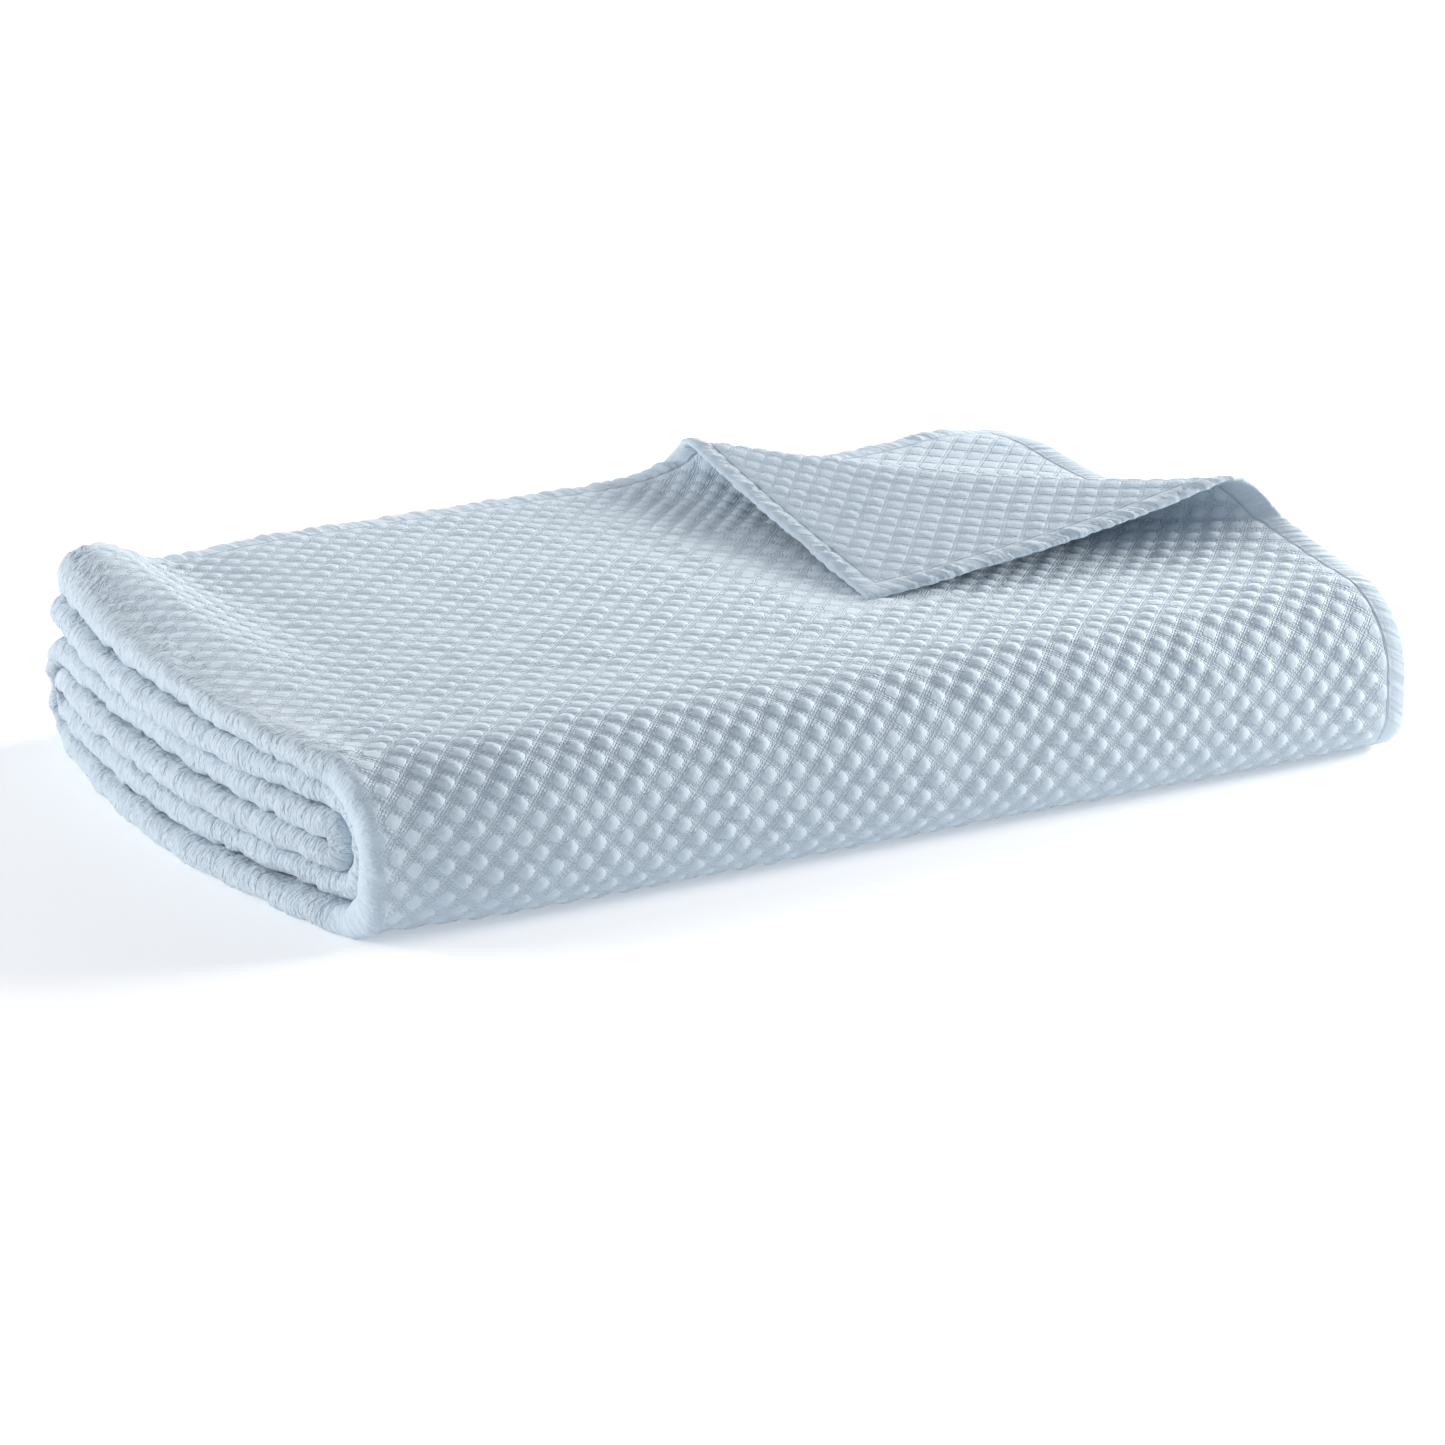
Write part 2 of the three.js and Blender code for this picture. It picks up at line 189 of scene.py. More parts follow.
def turn_corner(x, y, side):
    """The top layer's point after the corner is rolled over; side is the step off its middle.

    The walk across the fold gives its place; then it drifts, by smooth_step towards the tip.
    """
    s, t = across_fold(x, y)
    turn = np.pi + LAY_BACK - RISE_ANGLE
    share = np.clip(0.5 + t / (2 * ROLL_HALF_SPAN), 0, 1)
    radius = ROLL_RADII[0] + (ROLL_RADII[1] - ROLL_RADII[0]) * share
    path = [(RISE_LENGTH, RISE_ANGLE), (radius * turn, turn), (FOLD_OFFSET, 0)]
    along, across, facing = walk(s + RISE_LENGTH, path, 0.0)
    lifted = s > -RISE_LENGTH
    step = np.where(lifted, along - RISE_LENGTH - side * np.sin(facing) - s, 0)
    height = np.where(lifted, across + side * np.cos(facing), side)
    drift = smooth_step(0, FOLD_OFFSET, s)
    step, slide = step + TIP_BACK * drift, TIP_ALONG * drift
    nx, ny = FOLD_NORMAL
    return x + nx * step + ny * slide, y + ny * step - nx * slide, height


# %% [markdown]
# ## Unevenness
#
# Nobody folds a coverlet into a perfect block. The left end, where four layers turn round
# each other, bows out and swells; the front roll is squarer at its foot, where it carries
# the weight; the top has shallow humps. Each is one smooth formula, so the sheet never
# tears. The cloth's noise comes from a small table of seeded random numbers, blended
# between its entries, so that every run gives the same cloth.

# %% Settling the even bundle, and smooth noise
FRONT_SQUARE, FRONT_PUSH = 0.12, 0.10
LEFT_BOW, LEFT_REACH, BOW_FALL = 18.0, 190.0, 0.7
CORNER_TUCK, TUCK_X, TUCK_Y = 9.0, (-305.0, -190.0), (60.0, 205.0)
CORNER_CURL, CURL_AT, CURL_WIDTH = 4.5, 50.0, 38.0
# Humps of the top: middle x and y, width, depth and lift.
HUMPS = [(-266, 190, 23, 170, 13), (-225, 200, 35, 150, -3.5), (300, -100, 75, 65, 8)]
TABLE_SIZE = 128
TABLE = np.random.default_rng(11).random((TABLE_SIZE, TABLE_SIZE))
LAYER_SHIFT = (17.3, 5.7)               # each layer of noise reads another part of the table


def noise(x, y, layer=0):
    """Random numbers from -1 to 1 on a grid of whole numbers, blended between by smooth_step.

    layer picks another part of the table, so that two noises of one place differ.
    """
    x, y = np.broadcast_arrays(x + LAYER_SHIFT[0] * layer, y + LAYER_SHIFT[1] * layer)
    i, j = np.floor(x).astype(int), np.floor(y).astype(int)
    p, q = smooth_step(0, 1, x - i), smooth_step(0, 1, y - j)
    i, next_i = i % TABLE_SIZE, (i + 1) % TABLE_SIZE
    j, next_j = j % TABLE_SIZE, (j + 1) % TABLE_SIZE
    low = TABLE[i, j] * (1 - p) + TABLE[next_i, j] * p
    high = TABLE[i, next_j] * (1 - p) + TABLE[next_i, next_j] * p
    return 2 * (low * (1 - q) + high * q) - 1


def left_stand(v):
    """How far the left end stands out at v, eased from one stretch's middle to the next."""
    middles = (V[1:] + V[:-1]) / 2
    k = np.clip(np.searchsorted(middles, v), 1, len(DEPTH) - 1)
    values = np.array([row[2] for row in DEPTH], float)
    share = smooth_step(middles[k - 1], middles[k], v)
    return values[k - 1] + (values[k] - values[k - 1]) * share


def settle(x, y, z, v):
    """Squares the front's foot, bows the left end out, tucks its corners and lifts the humps.

    Each hump is its lift times exp(-(x / width)^2 - (y / depth)^2), measured from its middle.
    """
    out, up = FRONT_Y - y, z - MIDDLE_Z
    angle = np.arctan2(np.abs(up), np.maximum(out, 1e-9))
    scale = 1 + np.where(up < 0, FRONT_SQUARE, 0) * np.sin(2 * angle) ** 2
    push = 1 + FRONT_PUSH * smooth_step(0, MIDDLE_Z, -up)
    z = np.where(out > 0, MIDDLE_Z + up * scale, z)
    y = np.where(out > 0, FRONT_Y - out * scale * push, y)
    near_left = 1 - smooth_step(-LENGTH / 2, LEFT_REACH - LENGTH / 2, x)
    x = x - near_left * (LEFT_BOW * (1 - BOW_FALL * (y / REAR_Y) ** 2) + left_stand(v))
    near_corner = (1 - smooth_step(*TUCK_X, x)) * smooth_step(*TUCK_Y, np.abs(y))
    y = y - np.sign(y) * CORNER_TUCK * near_corner
    lift = sum(h * np.exp(-((x - cx) / w) ** 2 - ((y - cy) / d) ** 2) for cx, cy, w, d, h in HUMPS)
    return x, y, z + lift * np.clip(z / TOP_FACE, 0, 1) ** 2


def sheet_point(u, v, offset):
    """The folded sheet's point at cloth place (u, v), offset from the middle of the cloth.

    Two walks, one across the width and one down the depth, each step off the other's line.
    """
    along, across, facing = walk(u, WIDTH, np.pi)
    x = HEM_X + along + np.sin(facing) * offset
    layer = 1.5 * LAYER_PITCH + across - np.cos(facing) * offset
    along, across, facing = walk(v, DEPTH, np.pi)
    y = TOP_REAR_Y + along + np.sin(facing) * layer
    z = TOP + across - np.cos(facing) * layer
    turned = turn_corner(x, y, offset)
    on_top = (u < U[1]) & (v < V[1])
    x, y = np.where(on_top, turned[0], x), np.where(on_top, turned[1], y)
    z = np.where(on_top, TOP + 1.5 * LAYER_PITCH + turned[2], z)
    curl = CORNER_CURL * np.exp(-((U[-1] - u + v - CURL_AT) / CURL_WIDTH) ** 2)
    z = z + np.where(u > U[6], curl, 0)
    return settle(x, y, z, v)


# %% [markdown]
# ## Even diamonds on a bent face
#
# Round the front roll the outermost face is longer than the cloth's middle, as the outer lane
# of a running track is. On the real coverlet the outer layer simply slides a little, and its
# diamonds keep their size. So the pattern is laid out by the length of that outer face: p is
# the distance walked along it from the rear hem, found by adding up many small steps.

# %% Distance along the outermost face
STATION_U = 450.0                       # a line down the cloth, clear of the turned-back corner
STATIONS = np.linspace(0, V[-1], 4001)
track = np.stack(sheet_point(np.full(STATIONS.shape, STATION_U), STATIONS, CLOTH / 2))
steps = np.linalg.norm(np.diff(track, axis=1), axis=0)
FACE_LENGTH = np.concatenate([[0], np.cumsum(steps)])


def to_face(v):
    """Distance p along the outermost face, for a place v down the cloth."""
    return np.interp(v, STATIONS, FACE_LENGTH)


def to_cloth(p):
    """The place v down the cloth, for a distance p along the outermost face."""
    return np.interp(p, FACE_LENGTH, STATIONS)


print(f"front roll: {V[2] - V[1]:.0f} mm of cloth, {to_face(V[2]) - to_face(V[1]):.0f} mm of face")

# %% [markdown]
# ## The quilting
#
# The quilting is a trellis: two families of slanting stitched bands that cross, with a
# padded diamond puffing up in every opening. In cloth places that is simple. Two numbers,
# a = u / wide + p / long and b = u / wide - p / long, each grow by one from band to band, so
# the distance to the nearest whole number says how far a point is from a band, and a diamond
# rises where both are far. On the reverse the bands are narrower, with two rows of stitches
# where the face has three. Puffs belong only where the cloth is free to puff, so a strength
# goes with them: nothing between pressed layers, little under the turned-back corner.

# %% Height of the puffs, and where they show
DIAMOND_WIDE, DIAMOND_LONG = 15.6, 15.8      # a diamond's two diagonals
PUFF = 1.5                                   # height of a diamond's middle over its bands
FACE_SLOPE, REVERSE_SLOPE = (0.16, 0.41), (0.22, 0.45)   # from a diamond's middle, where it falls
ROUNDED = 4.0                                # 2 would make every puff round, more makes it square
LEAST_PUFF, PUFF_RANGE = 0.65, 0.7           # share of PUFF that the lowest has, and the rest
SUNK = 0.45                                  # the bands lie this far into the cloth
ON_FRONT, AT_FOOT = 1.25, 0.7                # the quilting's strength on the front, loss at its foot
UNDER_FLAP_LOSS, NOSE_LOSS = 0.8, 0.7        # losses under the flap and beside the nose
NOSE_REST = 0.25                             # what stays on the nose
FLAP_STRENGTH, BARED_STRENGTH = 0.65, 0.6    # of the reverse, turned up or bared


def trellis(u, p, side):
    """0 on the stitched bands, about 1 in a diamond's middle, each diamond a little different.

    The distance from a diamond's middle is (x^n + y^n)^(1/n), x and y being the distances along
    its two sides, which gives a puff with rounded corners. Its height falls by smooth_step.
    """
    a, b = u / DIAMOND_WIDE + p / DIAMOND_LONG, u / DIAMOND_WIDE - p / DIAMOND_LONG
    out_a, out_b = 0.5 - np.abs(a - np.round(a)), 0.5 - np.abs(b - np.round(b))
    out = (out_a ** ROUNDED + out_b ** ROUNDED) ** (1 / ROUNDED)
    i, j = np.floor(a).astype(int) % TABLE_SIZE, np.floor(b).astype(int) % TABLE_SIZE
    high = LEAST_PUFF + PUFF_RANGE * TABLE[i, j]
    fallen = np.where(side > 0, smooth_step(*FACE_SLOPE, out), smooth_step(*REVERSE_SLOPE, out))
    return high * (1 - fallen)


def nose(u, spread):
    """1 on the outer nose at the left end, falling to 0 within spread of its two ends."""
    return 1 - smooth_step(OUTER_NOSE / 2, OUTER_NOSE / 2 + spread, np.abs(u - (U[1] + U[2]) / 2))


def strength(u, v, side):
    """How freely the cloth can puff at (u, v): 0 where it is pressed, about 1 where it is free.

    Each region is a smooth_step in at one border and out at the other. s is the distance
    beyond the fold line, so it tells the turned-back cloth from what lies under it.
    """
    s, _ = across_fold(HEM_X - u, TOP_REAR_Y - v)
    on_top, first = v < V[1], u < U[1] + OUTER_NOSE / 2
    fuller = 1 + (ON_FRONT - 1) * smooth_step(V[1] - 30, V[1] + 20, v)
    foot = fuller - AT_FOOT * smooth_step(V[1] + 55, V[2] - 12, v)
    front = foot * (1 - smooth_step(V[2] - 16, V[2] + 2, v))
    rear = smooth_step(V[3], V[3] + 14, v) * (1 - smooth_step(V[4] - 14, V[4], v))
    under_flap = np.where(on_top, smooth_step(20, 60, s), 0)
    outside = np.where(first, front * (1 - UNDER_FLAP_LOSS * under_flap) + rear, 0)
    outside = np.maximum(outside * (1 - NOSE_LOSS * nose(u, 8)), NOSE_REST * nose(u, 5))
    flap = np.where(on_top & (u < U[1]), smooth_step(-12, 12, s), 0)
    s2, _ = across_fold(HEM_X - (U[-1] - u), TOP_REAR_Y - v)
    bared = np.where(on_top & (u > U[6]), smooth_step(-30, 0, s2), 0)
    return np.where(side > 0, outside, FLAP_STRENGTH * flap + BARED_STRENGTH * bared)


# %% [markdown]
# ## Hem, lumps and puckers
#
# The hem is the sheet's edge, turned over once and stitched down 12 mm in. It is plain
# cloth, drawn up a little by the thread, so it gathers into small slanting bulges with
# sharp creases between them, and the seam itself lies in a groove. The gathers are full
# along the rear and on the turned-back corner, where nothing presses the hem. At the left
# end the cloth turns a tight corner: the diamonds are crushed there into lumps and fine
# puckers that run across the ridge. The front roll's border there has a row of small bobbles.

# %% The step off the cloth's middle, with everything that stands on it
GATHER, GATHER_PITCH, GATHER_SLANT = 3.0, 9.0, 0.55
GATHER_DRIFT, DRIFT_PITCH = 0.45, 13.0       # how unevenly the gathers are spaced
GATHER_COLUMN = 7                            # column of the table that their heights come from
CORNER_FADE = (5.0, 20.0)                    # they fade between these distances from a corner
LEAST_GATHER, PRESSED = 0.4, 0.2             # the lowest bulge, and what pressing leaves of each
HEM_RISE, EVEN_BULGE = 0.3, 0.3              # the hem's own height, and the bulge that keeps to it
GROOVE, GROOVE_HALF = 0.4, 1.2               # the groove at the seam
SCALLOP, SCALLOP_REACH = 1.6, 20.0           # how far the creases draw the hem's edge in
FLAP = 300.0                 # side of the square of cloth that holds the turned-back corner
NOSE_SPREAD = 22.0           # the nose's lumps fade out over this width
LUMP, LUMP_PITCH = 1.5, 7.0
SWELL, SWELL_PITCH = 0.7, 34.0
PLUMP, KNOB, KNOB_REACH = 0.5, 1.5, 42.0     # fuller ridges, and a fuller rear corner of the top one
CRUMPLE, CRUMPLE_WIDE, CRUMPLE_PITCH = 1.7, 11.0, 7.0    # where a ridge turns a tight bend
TIGHT_BENDS = (3, 7)                         # their first marks in V
ROLL_EASE, ROLL_LESS = 12.0, 0.7             # the front roll has fewer lumps and puckers
BOBBLE, BOBBLE_WIDE, BOBBLE_PITCH = 2.6, 3.2, 6.0        # along the front roll's left border
FLATTEN, FLATTEN_WIDE = 1.8, 5.0             # beside the bobbles
EDGE_ROUND = 1.3


def edge_distance(u, v):
    """Distance to the nearest edge of the sheet, and the distance along it from a corner."""
    to_side, to_end = np.minimum(u, U[-1] - u), np.minimum(v, V[-1] - v)
    return np.minimum(to_side, to_end), np.maximum(to_side, to_end)


def gathers(u, v, side):
    """Bulges along the hem, 1 at their crests and 0 in the creases between them.

    Each is 4 f (1 - f), f being the share of the way through it, so that two bulges meet in
    a sharp crease. The second result says how full they are: 1 where the hem is free, less
    where it is pressed, and 0 at the sheet's corners.
    """
    edge, place = edge_distance(u, v)
    drift = GATHER_DRIFT * noise(place / DRIFT_PITCH, 0 * place, 3)
    phase = (place + GATHER_SLANT * edge) / GATHER_PITCH + drift
    number = np.floor(phase).astype(int)
    share = phase - number
    at_corner = np.maximum(np.minimum(u, U[-1] - u), np.minimum(v, V[-1] - v))
    tall = LEAST_GATHER + (1 - LEAST_GATHER) * TABLE[number % TABLE_SIZE, GATHER_COLUMN]
    at_rear = (v < HEM + 3) & ((u < U[1]) | (u > U[6]))
    free = at_rear | ((u < U[1]) & (v < FLAP) & (side < 0))
    full = np.where(free, 1.0, PRESSED) * smooth_step(*CORNER_FADE, at_corner)
    return 4 * share * (1 - share) * tall, full


def hem_relief(u, v, side):
    """Bulges of the hem, under half a sine to the power 0.6 across it, and the seam's groove."""
    edge, _ = edge_distance(u, v)
    bulge, full = gathers(u, v, side)
    round_over = np.sin(np.pi * np.clip(edge / HEM, 0, 1)) ** 0.6
    groove = GROOVE * np.exp(-((edge - HEM) / GROOVE_HALF) ** 2)
    return round_over * (HEM_RISE + GATHER * full * (bulge - EVEN_BULGE)) - groove


def front_roll(v):
    """1 on the front roll, eased to 0 at both its ends."""
    return smooth_step(V[1], V[1] + ROLL_EASE, v) * (1 - smooth_step(V[2] - ROLL_EASE, V[2], v))


def nose_relief(u, v):
    """Height of what the nose at the left end has of its own, in millimetres.

    Lumps and wider swells, fuller ridges, and crumples where a ridge turns a tight bend. On
    the front roll the lumps are lower, and a bell curve across the border holds the bobbles.
    """
    lumps = LUMP * noise(u / LUMP_PITCH, v / LUMP_PITCH, 5)
    lumps = lumps + SWELL * noise(u / SWELL_PITCH, v / SWELL_PITCH, 9)
    plump = PLUMP + KNOB * np.exp(-(v / KNOB_REACH) ** 2)
    bent = sum(((v > V[k] - 4) & (v < V[k + 1] + 4)).astype(float) for k in TIGHT_BENDS)
    crumple = CRUMPLE * bent * noise(u / CRUMPLE_WIDE, v / CRUMPLE_PITCH, 6)
    on_front = front_roll(v)
    uneven = 0.6 + 0.8 * noise(v / BOBBLE_PITCH, 0 * v, 4)
    bobbles = BOBBLE * np.exp(-((u - U[1]) / BOBBLE_WIDE) ** 2) * uneven
    flat = FLATTEN * np.exp(-((u - U[1] - OUTER_NOSE / 2) / FLATTEN_WIDE) ** 2)
    ridges = nose(u, NOSE_SPREAD) * (lumps * (1 - ROLL_LESS * on_front) + plump + crumple)
    return ridges + on_front * (bobbles - flat)


def relief(u, v, side):
    """Height of the cloth's face over its even surface, in millimetres.

    Diamonds times their strength, minus the sunk bands, plus the hem's bulges and, on the
    face, the relief of the nose.
    """
    edge, _ = edge_distance(u, v)
    inside = smooth_step(HEM, HEM + 3, edge)
    height = inside * strength(u, v, side) * (PUFF * trellis(u, to_face(v), side) - SUNK)
    height = height + np.where(edge < HEM + 4, hem_relief(u, v, side), 0)
    return height + np.where(side > 0, nose_relief(u, v), 0) * inside


def cloth_offset(u, v, side):
    """The step from the cloth's middle to its face (side 1) or reverse (side -1)."""
    edge, _ = edge_distance(u, v)
    body = CLOTH / 2 * (0.3 + 0.7 * smooth_step(0, EDGE_ROUND, edge))
    return side * (body + relief(u, v, side) * smooth_step(0, EDGE_ROUND, edge))


# %% [markdown]
# ## A mesh that is fine only where it shows
#
# Four fifths of a folded sheet is hidden between its own layers. An even grid fine enough
# for the diamonds would need millions of faces, so each side of the sheet is cut into
# tiles, each with a grid of its own: six cells to a diamond where the quilting shows, wide
# cells where it doesn't. Neighbouring tiles are joined by zips. A zip walks down two rows of
# points together, always stepping on the row whose next point comes first, and makes one
# triangle for each step, so that any two rows join without a gap.

# %% Tiles and zips
FINE = (DIAMOND_WIDE / 6, DIAMOND_LONG / 6)
MEDIUM = (DIAMOND_WIDE / 5, DIAMOND_LONG / 5)
COARSE = (DIAMOND_WIDE / 4, DIAMOND_LONG / 4)
GATHERED = 2.1                # cells along a gathered hem
HEM_LINES = np.array([0.0, 0.9, 2.6, 6.0, 9.4, 12.0])
P_END = to_face(V[-1])


def lines(low, high, step, end):
    """Grid lines from low to high: whole steps if they are small, else even ones, kept off
    both borders, with the hem's own lines at the sheet's edges."""
    margin = min(step, 5.0) / 2
    if step < 4:
        found = np.arange(np.ceil((low + margin) / step), np.floor((high - margin) / step) + 1) * step
    else:
        found = np.linspace(low + margin, high - margin, int(np.ceil((high - low) / step)) + 1)
    if low == 0:
        found = np.concatenate([HEM_LINES, found[found > HEM_LINES[-1] + 1]])
    if high == end:
        found = np.concatenate([found[found < end - HEM_LINES[-1] - 1], end - HEM_LINES[::-1]])
    return found


def zip_rows(a, at, b, bt, flip):
    """Triangles between two rows of points a and b, whose places along the row are at and bt."""
    middle = np.concatenate([(at[1:] + at[:-1]) / 2, (bt[1:] + bt[:-1]) / 2])
    on_b = np.repeat([False, True], [len(a) - 1, len(b) - 1])[np.argsort(middle, kind="stable")]
    i = np.concatenate([[0], np.cumsum(~on_b)])[:-1]
    j = np.concatenate([[0], np.cumsum(on_b)])[:-1]
    third = np.where(on_b, b[np.minimum(j + 1, len(b) - 1)], a[np.minimum(i + 1, len(a) - 1)])
    found = np.stack([a[i], third, b[j]], 1)
    return found[:, ::-1] if flip else found


# %% [markdown]
# The borders of the tiles follow the folds, and cut the square of the turned-back corner in
# small tiles. A short rule gives each tile its cell sizes from what can be seen of it: the
# corner's own tiles ask how far they lie beyond the fold line.

# %% Borders of the tiles, and each tile's cell sizes
HEM_TILE = 18.0
TILE_NEAR, TILE_MIDDLE, TILE_FAR = 112.0, 200.0, 275.0     # tiles under the flap lie between these
CORNER_TILES = [HEM_TILE, TILE_NEAR, TILE_MIDDLE, TILE_FAR, FLAP]
NOSE_COLUMNS = [U[1] - 26, U[1] - 3, U[2] + 3, U[2] + 12]
U_BORDERS = [0, *CORNER_TILES, *NOSE_COLUMNS, U[3] - 12, U[4] + 12, U[5] - 8, U[6] + 8,
             *[U[-1] - c for c in reversed(CORNER_TILES)], U[-1]]
V_BORDERS = [0, *CORNER_TILES, V[2] + 4, V[3] - 6, V[4] + 6, V[5] - 6, V[6] + 6, V[7] - 6,
             V[8] + 6, V[9] - 6, V[10] + 6, V[-1] - HEM_TILE, V[-1]]
# Cell length on each bend of the depth, from its first mark in V.
BEND_CELLS = {1: 8.0, 3: 7.0, 5: 3.2, 7: 3.2, 9: 7.0}
PLAIN = 46.0                  # cells of hidden, nearly flat cloth
HIDDEN_CORNER = 12.0          # cells of the corner's tiles that don't show
HIDDEN_HEM = 6.0              # across a hidden hem
HUMP_CELLS = (7.0, 30.0)      # hidden cells under the hump at the left, which bends sharply
NOSE_CELLS = (2.4, 5.5, 3.9)  # on the nose's arc, beside it, and down its length
NOSE_BACK = (4.2, 12.0)       # its hidden side: on the arc, and beside it
FOLD_WIDE = 2.5               # round the right fold and the inner nose
SEEN_UNDER, SEEN_PAST = 35.0, -25.0    # how far from the fold line the face and reverse still show


def beyond_fold(u0, u1, v0, v1):
    """Lowest and highest distance beyond the fold line over a tile's four corners."""
    s = [across_fold(HEM_X - u, TOP_REAR_Y - v)[0] for u in (u0, u1) for v in (v0, v1)]
    return min(s), max(s)


def cells(side, u0, u1, v0, v1):
    """Cell sizes of a tile, in millimetres across the width and down the length."""
    middle_u, middle_v = (u0 + u1) / 2, (v0 + v1) / 2
    first, top = middle_u < NOSE_COLUMNS[0], middle_v < V[1]
    nearest, farthest = beyond_fold(u0, u1, v0, v1)
    if first and top and v1 <= FLAP and u1 <= FLAP:
        in_square = min(u0, v0) >= TILE_NEAR and max(u1, v1) <= TILE_FAR
        below_flap = in_square and (v1 <= TILE_MIDDLE or u0 >= TILE_MIDDLE)
        shown = (nearest < SEEN_UNDER and not below_flap) if side > 0 else farthest > SEEN_PAST
        if shown or min(u0, v0) == 0:
            return (GATHERED if v0 == 0 else FINE[0]), (GATHERED if u0 == 0 else FINE[1])
        return HIDDEN_CORNER, HIDDEN_CORNER
    if side > 0 and first and middle_v < V[2]:
        return FINE
    if side > 0 and first and V[3] < middle_v < V[4]:
        return COARSE
    bared = beyond_fold(U[-1] - u1, U[-1] - u0, v0, v1)[1] > SEEN_PAST
    if u0 >= U[-1] - FLAP and v1 <= FLAP and bared:
        if side < 0:
            return MEDIUM
        if v0 == 0 or u1 == U[-1]:
            return (MEDIUM[0] if v0 == 0 else HIDDEN_HEM), (MEDIUM[1] if u1 == U[-1] else HIDDEN_HEM)
    bend_cell = [size for k, size in BEND_CELLS.items() if V[k] - 7 < middle_v < V[k + 1] + 7]
    wide, long = PLAIN, bend_cell[0] if bend_cell else PLAIN
    if NOSE_COLUMNS[0] < middle_u < NOSE_COLUMNS[-1]:
        on_arc = NOSE_COLUMNS[1] < middle_u < NOSE_COLUMNS[2]
        if side > 0:
            return (NOSE_CELLS[0] if on_arc else NOSE_CELLS[1]), NOSE_CELLS[2]
        beside = HUMP_CELLS[0] if top else NOSE_BACK[1]
        return (NOSE_BACK[0] if on_arc else beside), min(long, 20.0)
    if side < 0 and top and (first or middle_u > U[6]):
        wide, long = HUMP_CELLS
    if U[3] - 12 < middle_u < U[4] + 12:
        wide, long = FOLD_WIDE, min(long, 28.0)
    if U[5] - 8 < middle_u < U[6] + 8:
        wide = FOLD_WIDE
    if u0 == 0 or u1 == U[-1]:
        wide, long = HIDDEN_HEM, min(long, 18.0)
    if v0 == 0 or v1 == V[-1]:
        wide, long = min(wide, 20.0), HIDDEN_HEM
    return wide, long


# %% Making all the tiles, and joining them
places, sides, quads, triangles = [], [], [], []
tiles = {}
count = 0
for side in (1, -1):
    for i, (u0, u1) in enumerate(zip(U_BORDERS, U_BORDERS[1:])):
        for j, (v0, v1) in enumerate(zip(V_BORDERS, V_BORDERS[1:])):
            wide, long = cells(side, u0, u1, v0, v1)
            us = lines(u0, u1, wide, U[-1])
            ps = lines(to_face(v0), to_face(v1), long, P_END)
            ids = count + np.arange(len(us) * len(ps)).reshape(len(us), len(ps))
            count += ids.size
            tiles[side, i, j] = ids, us, ps
            places.append(np.stack(np.meshgrid(us, ps, indexing="ij"), 2).reshape(-1, 2))
            sides.append(np.full(ids.size, side))
            ring = np.stack([ids[:-1, :-1], ids[:-1, 1:], ids[1:, 1:], ids[1:, :-1]], 2)
            ring = ring.reshape(-1, 4)
            quads.append(ring[:, ::-1] if side > 0 else ring)

columns, rows = len(U_BORDERS) - 1, len(V_BORDERS) - 1
for side in (1, -1):
    flip = side > 0
    for i in range(columns):
        for j in range(rows):
            ids, us, ps = tiles[side, i, j]
            if i + 1 < columns:
                other, _, ps2 = tiles[side, i + 1, j]
                triangles.append(zip_rows(ids[-1], ps, other[0], ps2, flip))
            if j + 1 < rows:
                other, us2, _ = tiles[side, i, j + 1]
                triangles.append(zip_rows(ids[:, -1], us, other[:, 0], us2, not flip))
            if i + 1 < columns and j + 1 < rows:
                ring = [ids[-1, -1], tiles[side, i, j + 1][0][-1, 0],
                        tiles[side, i + 1, j + 1][0][0, 0], tiles[side, i + 1, j][0][0, -1]]
                quads.append(np.array([ring[::-1] if flip else ring]))

# %% [markdown]
# The two sides meet round the sheet's edge. There the rows of the face are zipped to the
# rows of the reverse, which closes the sheet, like the fold of the hem on the real cloth.

# %% Closing the sheet round its edge
def close_edge(pairs, flip):
    """Zips a run of face rows to its run of reverse rows. pairs hold (face, reverse, places)."""
    for k, (face, face_at, reverse, reverse_at) in enumerate(pairs):
        triangles.append(zip_rows(face, face_at, reverse, reverse_at, flip))
        if k + 1 < len(pairs):
            ring = [face[-1], pairs[k + 1][0][0], pairs[k + 1][2][0], reverse[-1]]
            quads.append(np.array([ring[::-1] if flip else ring]))


for i, end, flip in ((0, 0, False), (columns - 1, -1, True)):
    along_side = [(tiles[1, i, j], tiles[-1, i, j]) for j in range(rows)]
    close_edge([(face[0][end], face[2], back[0][end], back[2]) for face, back in along_side], flip)
for j, end, flip in ((0, 0, True), (rows - 1, -1, False)):
    along_end = [(tiles[1, i, j], tiles[-1, i, j]) for i in range(columns)]
    close_edge([(face[0][:, end], face[1], back[0][:, end], back[1]) for face, back in along_end], flip)

places, sides = np.concatenate(places), np.concatenate(sides)
quads, triangles = np.concatenate(quads), np.concatenate(triangles)
print(f"{count} points, {2 * len(quads) + len(triangles)} triangles")

# %% [markdown]
# ## From cloth places to a mesh
#
# One call of the fold function places every point. The cloth places also become the UV map,
# in metres, so that stitches and weave follow the cloth into every fold. The strength of the
# quilting, the side, the ridges and the place at the hem are kept on the points for the
# material to read.

